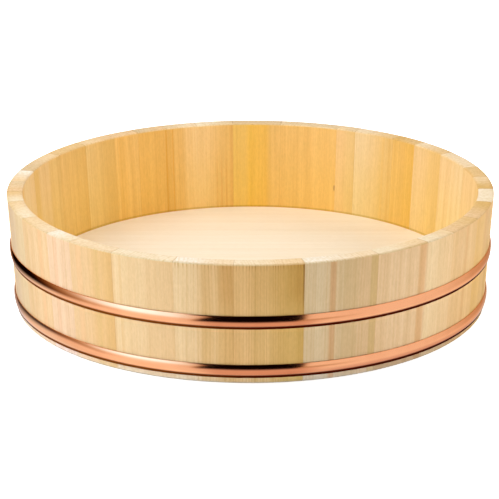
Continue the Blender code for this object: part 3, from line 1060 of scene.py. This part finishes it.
def polished_copper(name, low, high, reflected_shade, tip):
    """Copper polished lengthwise, with painted shade along its lower edge and a brazed seam at the
    back.

    A tip leans the shading, and not the shape, most of all at the far left.
    """
    material, tree, shader, point = new_material(name)
    x, y, z = split(tree, point)
    turn = arithmetic(tree, "ARCTAN2", x, arithmetic(tree, "MULTIPLY", y, -1.0))
    brush_across = arithmetic(tree, "MULTIPLY", turn, BRUSH_TURN)
    brush_up = arithmetic(tree, "MULTIPLY", z, BRUSH_HEIGHT)
    brushed = noise(tree, combine(tree, brush_across, brush_up, 0.0), 1.0, 2.0)
    cloud = noise(tree, point, COPPER_CLOUD_SCALE, 3.0)
    share = arithmetic(tree, "DIVIDE", arithmetic(tree, "SUBTRACT", z, low), high - low)
    colour = blend(tree, rise(tree, cloud, 0.35, 0.7), COPPER, DULL_COPPER)
    # Painted reflection of shade: the lower hoop darkens low down on the right, where it mirrors
    # the tub's shadow on the table
    below = rise(tree, share, *LOW_SHADE, 1.0, 0.0)
    below = arithmetic(tree, "MULTIPLY", below, rise(tree, turn, *LOW_SHADE_TURN))
    colour = tinted(tree, colour, below, WHITE, reflected_shade)
    # Painted shade along the top edge at the front, where the hoop meets the wood
    start, end = (math.degrees(angle) for angle in TOP_EDGE_SHADE_TURN)
    middle = sector(tree, turn, start, end, 6, 6)
    top = arithmetic(tree, "MULTIPLY", rise(tree, share, *TOP_EDGE_SHADE), middle)
    colour = tinted(tree, colour, top, WHITE, TOP_EDGE_SHADE_TINT)
    seam_turn = arithmetic(tree, "ARCTAN2", x, y)
    slant = arithmetic(tree, "MULTIPLY", arithmetic(tree, "SUBTRACT", share, 0.5), SEAM_SLANT)
    off = arithmetic(tree, "MULTIPLY", seam_turn, rim_radius)
    off = arithmetic(tree, "ABSOLUTE", arithmetic(tree, "SUBTRACT", off, slant))
    seam = rise(tree, off, 0.6 * SEAM_HALF, SEAM_HALF, 1.0, 0.0)
    colour = blend(tree, seam, colour, BRAZE)
    # Painted shade along the lower edge, where the band turns under: dark, not metallic, browner at
    # the left
    edge_shade = rise(tree, share, *LOWER_EDGE_SHADE_SPAN, 1.0, 0.0)
    edge_shade_colour = blend(tree, rise(tree, turn, *LOWER_EDGE_SHADE_TURN), LOWER_EDGE_SHADE_LEFT, LOWER_EDGE_SHADE)
    tree.links.new(blend(tree, edge_shade, colour, edge_shade_colour), shader.inputs["Base Color"])
    unshaded = arithmetic(tree, "SUBTRACT", 1.0, edge_shade)
    tree.links.new(unshaded, shader.inputs["Metallic"])
    shader.inputs["Specular Tint"].default_value = (*COPPER_SIDE, 1.0)
    tree.links.new(arithmetic(tree, "MULTIPLY", unshaded, 0.5), shader.inputs["Specular IOR Level"])
    rough = rise(tree, brushed, 0.2, 0.8, COPPER_ROUGHNESS - 0.02, COPPER_ROUGHNESS + 0.03)
    rough = arithmetic(tree, "ADD", rough, arithmetic(tree, "MULTIPLY", seam, 0.15))
    tree.links.new(rough, shader.inputs["Roughness"])
    relief = arithmetic(tree, "ADD", arithmetic(tree, "MULTIPLY", brushed, 0.05), seam)
    tipped = None
    if tip:
        tipped = combine(tree, 0.0, 0.0, rise(tree, turn, *LOWER_HOOP_TIP_TURN, *tip))
    add_bump(tree, shader, relief, COPPER_RELIEF, tipped)
    return material


# Stage


def add_floor():
    """A white floor that keeps the tub's shadow and is clear from below."""
    bm = bmesh.new()
    bmesh.ops.create_grid(bm, x_segments=1, y_segments=1, size=FLOOR_REACH)
    mesh = bpy.data.meshes.new("studio_floor")
    bm.to_mesh(mesh)
    bm.free()
    floor = bpy.data.objects.new("studio_floor", mesh)
    floor.location.z = -FLOOR_DROP
    bpy.context.scene.collection.objects.link(floor)
    floor.visible_glossy = False
    material = bpy.data.materials.new("studio_white")
    material.use_nodes = True
    tree = material.node_tree
    shader = tree.nodes["Principled BSDF"]
    shader.inputs["Base Color"].default_value = (FLOOR_WHITE, FLOOR_WHITE, FLOOR_WHITE, 1.0)
    shader.inputs["Roughness"].default_value = 1.0
    shader.inputs["Specular IOR Level"].default_value = 0.0
    shader.inputs["Emission Color"].default_value = (1.0, 1.0, 1.0, 1.0)
    seen = tree.nodes.new("ShaderNodeLightPath").outputs["Is Camera Ray"]
    away = vector_length(tree, tree.nodes.new("ShaderNodeTexCoord").outputs["Object"])
    lift = rise(tree, away, *FLOOR_LIFT_REACH, *FLOOR_LIFT)
    glow = level_of(tree, [(seen, lift)], FLOOR_BOUNCE)
    tree.links.new(glow, shader.inputs["Emission Strength"])
    clear = tree.nodes.new("ShaderNodeBsdfTransparent")
    mix = tree.nodes.new("ShaderNodeMixShader")
    side = tree.nodes.new("ShaderNodeNewGeometry")
    tree.links.new(side.outputs["Backfacing"], mix.inputs["Fac"])
    tree.links.new(shader.outputs["BSDF"], mix.inputs[1])
    tree.links.new(clear.outputs["BSDF"], mix.inputs[2])
    tree.links.new(mix.outputs["Shader"], tree.nodes["Material Output"].inputs["Surface"])
    mesh.materials.append(material)


def towards(azimuth, elevation):
    """The direction to a place round the tub: azimuth 0 is the front, 90 the right."""
    a = math.radians(azimuth)
    e = math.radians(elevation)
    return Vector((math.sin(a) * math.cos(e), -math.cos(a) * math.cos(e), math.sin(e)))


def add_softbox(name, azimuth, elevation, distance, size, level):
    """A square softbox; level is the brightness it alone gives a white surface facing it."""
    lamp = bpy.data.lights.new(name, "AREA")
    lamp.shape = "SQUARE"
    lamp.size = size
    lamp.energy = level * math.pi**2 * distance**2
    box = bpy.data.objects.new(name, lamp)
    direction = towards(azimuth, elevation)
    box.location = direction * distance
    box.rotation_euler = direction.to_track_quat("Z", "Y").to_euler()
    box.visible_glossy = False
    box.visible_camera = False
    bpy.context.scene.collection.objects.link(box)


def sector(tree, azimuth, start, end, soft_start, soft_end, closing_azimuth=None):
    """A mask between two azimuths in degrees, with a soft run at either end."""
    opening = rise(
        tree,
        azimuth,
        math.radians(start - soft_start / 2),
        math.radians(start + soft_start / 2),
    )
    closing = rise(
        tree,
        closing_azimuth or azimuth,
        math.radians(end - soft_end / 2),
        math.radians(end + soft_end / 2),
        1.0,
        0.0,
    )
    return arithmetic(tree, "MULTIPLY", opening, closing)


def level_of(tree, masks, rest):
    """A brightness that is the rest's, but each mask's own value under that mask."""
    value = rest
    for mask, level in masks:
        value = arithmetic(
            tree,
            "ADD",
            arithmetic(tree, "MULTIPLY", value, arithmetic(tree, "SUBTRACT", 1.0, mask)),
            arithmetic(tree, "MULTIPLY", mask, level),
        )
    return value


def build_world():
    """White to the camera, an even light, and for gloss the studio that the copper reflects."""
    world = bpy.data.worlds.new("studio")
    bpy.context.scene.world = world
    world.use_nodes = True
    tree = world.node_tree
    output = tree.nodes["World Output"]
    plain = tree.nodes["Background"]
    direction = tree.nodes.new("ShaderNodeTexCoord").outputs["Generated"]
    x, y, z = split(tree, direction)
    azimuth = arithmetic(tree, "ARCTAN2", x, arithmetic(tree, "MULTIPLY", y, -1.0))
    up_from_middle = arithmetic(tree, "SUBTRACT", z, LEFT_BOX_MIDDLE)
    opening, closing = (
        arithmetic(tree, "ADD", azimuth, arithmetic(tree, "MULTIPLY", up_from_middle, spread))
        for spread in LEFT_BOX_SPREAD
    )
    left_box = sector(tree, opening, *LEFT_BOX, closing)
    *fade, fade_level = LEFT_BOX_FADE
    fade_start, fade_end = (math.radians(angle) for angle in fade)
    fading = rise(tree, azimuth, fade_start, fade_end, LEFT_BOX_LEVEL, fade_level)
    tail_low, tail_middle, tail_high = DARK_TAIL_HEIGHT
    tail = rise(tree, z, tail_low, tail_middle)
    tail_top = rise(tree, z, tail_middle, tail_high, 1.0, 0.0)
    tail = arithmetic(tree, "MULTIPLY", tail, tail_top)
    tail = arithmetic(tree, "MULTIPLY", tail, sector(tree, azimuth, *DARK_TAIL))
    upper = level_of(
        tree,
        [
            (sector(tree, azimuth, *DARK), DARK_LEVEL),
            (left_box, fading),
            (sector(tree, azimuth, *RIGHT_CARD), RIGHT_CARD_LEVEL),
            (tail, DARK_TAIL_LEVEL),
        ],
        REST_LEVEL,
    )
    warm = (arithmetic(tree, "POWER", upper, power) for power in WARM_SHADE)
    high = rise(tree, z, *(math.sin(math.radians(height)) for height in GLARE_HEIGHT))
    glare = arithmetic(tree, "MULTIPLY", high, sector(tree, azimuth, *GLARE))
    glare = arithmetic(tree, "MULTIPLY", glare, left_box)
    upper = blend(tree, glare, combine(tree, upper, *warm), GLARE_COLOUR)
    lower = level_of(tree, [(sector(tree, azimuth, *TABLE_LEFT), TABLE_LEFT_LEVEL)], TABLE_LEVEL)
    front = sector(tree, azimuth, *TABLE_FRONT)
    lower = blend(tree, front, combine(tree, lower, lower, lower), TABLE_FRONT_COLOUR)
    lower = blend(tree, sector(tree, azimuth, *TABLE_FAR_LEFT), lower, TABLE_FAR_LEFT_COLOUR)
    above = rise(
        tree,
        z,
        math.sin(math.radians(TABLE_EDGE - TABLE_SOFT)),
        math.sin(math.radians(TABLE_EDGE + TABLE_SOFT)),
    )
    studio = blend(tree, above, lower, upper)
    rays = tree.nodes.new("ShaderNodeLightPath").outputs
    glossy = tree.nodes.new("ShaderNodeBackground")
    tree.links.new(studio, glossy.inputs["Color"])
    plain.inputs["Color"].default_value = (1.0, 1.0, 1.0, 1.0)
    even = level_of(tree, [(rays["Is Camera Ray"], 1.0)], EVEN_LIGHT)
    tree.links.new(even, plain.inputs["Strength"])
    mix = tree.nodes.new("ShaderNodeMixShader")
    tree.links.new(rays["Is Glossy Ray"], mix.inputs["Fac"])
    tree.links.new(plain.outputs["Background"], mix.inputs[1])
    tree.links.new(glossy.outputs["Background"], mix.inputs[2])
    tree.links.new(mix.outputs["Shader"], output.inputs["Surface"])


def add_camera():
    """The camera where the photograph was taken from."""
    camera = bpy.data.cameras.new("photo_camera")
    camera.lens = CAMERA_LENS
    camera.shift_x, camera.shift_y = CAMERA_SHIFT
    viewer = bpy.data.objects.new("photo_camera", camera)
    viewer.location = CAMERA_PLACE
    sight = Vector(CAMERA_TARGET) - Vector(CAMERA_PLACE)
    upright = sight.to_track_quat("-Z", "Y")
    viewer.rotation_euler = (upright @ Quaternion((0, 0, 1), CAMERA_ROLL)).to_euler()
    bpy.context.scene.collection.objects.link(viewer)
    bpy.context.scene.camera = viewer


sawara = grain_group()
build_staves(sawara)
build_floor(sawara)
build_hoop("upper_hoop", WHITE, None)
build_hoop("lower_hoop", LOW_REFLECTED_SHADE, LOWER_HOOP_TIP)
bamboo = shaved_bamboo()
for node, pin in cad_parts.items():
    if node.startswith("floor_pin"):
        pin.data.materials.clear()
        pin.data.materials.append(bamboo)

add_floor()
for softbox in SOFTBOXES:
    add_softbox(*softbox)
build_world()
add_camera()
bpy.context.scene.view_settings.view_transform = "Standard"
